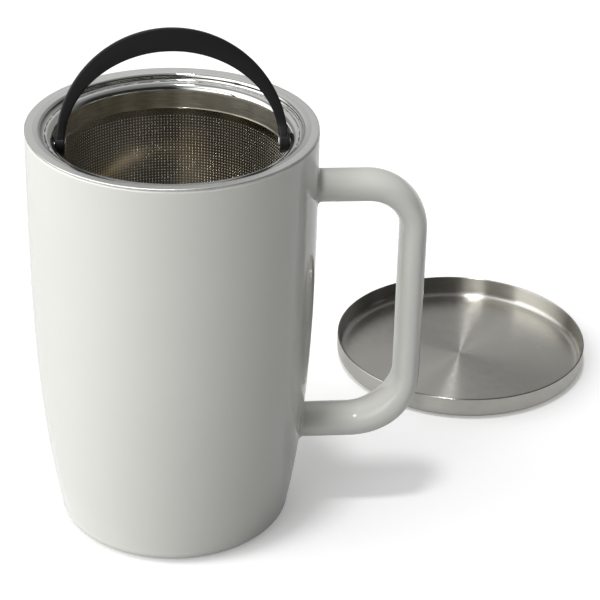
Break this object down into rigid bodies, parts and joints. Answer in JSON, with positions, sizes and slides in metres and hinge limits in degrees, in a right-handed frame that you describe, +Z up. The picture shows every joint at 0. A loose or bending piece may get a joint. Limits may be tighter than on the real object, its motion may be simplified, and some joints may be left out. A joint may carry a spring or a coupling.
{
  "type": "lidded tea mug with infuser",
  "caption": "Tall ceramic tea mug with a side handle, a lift-out perforated steel infuser basket with a folding bail, and a loose steel cap lid lying beside it.",
  "frame": {"origin": "centre of the mug's foot, on the plane that the mug and the lid rest on", "axes": "+Z up along the mug's axis; +X towards the handle; the bail's pivot axis lies along X; the lid lies in the +X +Y quarter"},
  "size_m": [0.1942, 0.1745, 0.1594],
  "materials": {
    "glazed_ceramic": "white glaze, glossy",
    "polished_steel": "polished stainless steel",
    "perforated_steel": "dull stainless sheet with fine holes",
    "rivet_steel": "polished rivet heads",
    "black_plastic": "black moulded plastic, satin matte",
    "satin_steel": "spun stainless steel, satin"
  },
  "bodies": {
    "mug": {"mug_body": "glazed_ceramic", "mug_handle": "glazed_ceramic"},
    "infuser": {"infuser_rim": "polished_steel", "basket_wall": "perforated_steel", "basket_base": "perforated_steel", "left_rivet": "rivet_steel", "right_rivet": "rivet_steel"},
    "bail": {"bail": "black_plastic"},
    "lid": {"lid": "satin_steel"}
  },
  "joints": [
    {"name": "infuser_lift", "type": "slide", "parent": "mug", "child": "infuser", "axis": [0, 0, 1], "range_m": [0, 0.12]},
    {"name": "bail_fold", "type": "hinge", "parent": "infuser", "child": "bail", "pos_m": [0, 0, 0.126], "axis": [1, 0, 0], "range_deg": [-75, 105]},
    {"name": "lid_lift", "type": "slide", "parent": "mug", "child": "lid", "axis": [0, 0, 1], "range_m": [0, 0.15]}
  ]
}
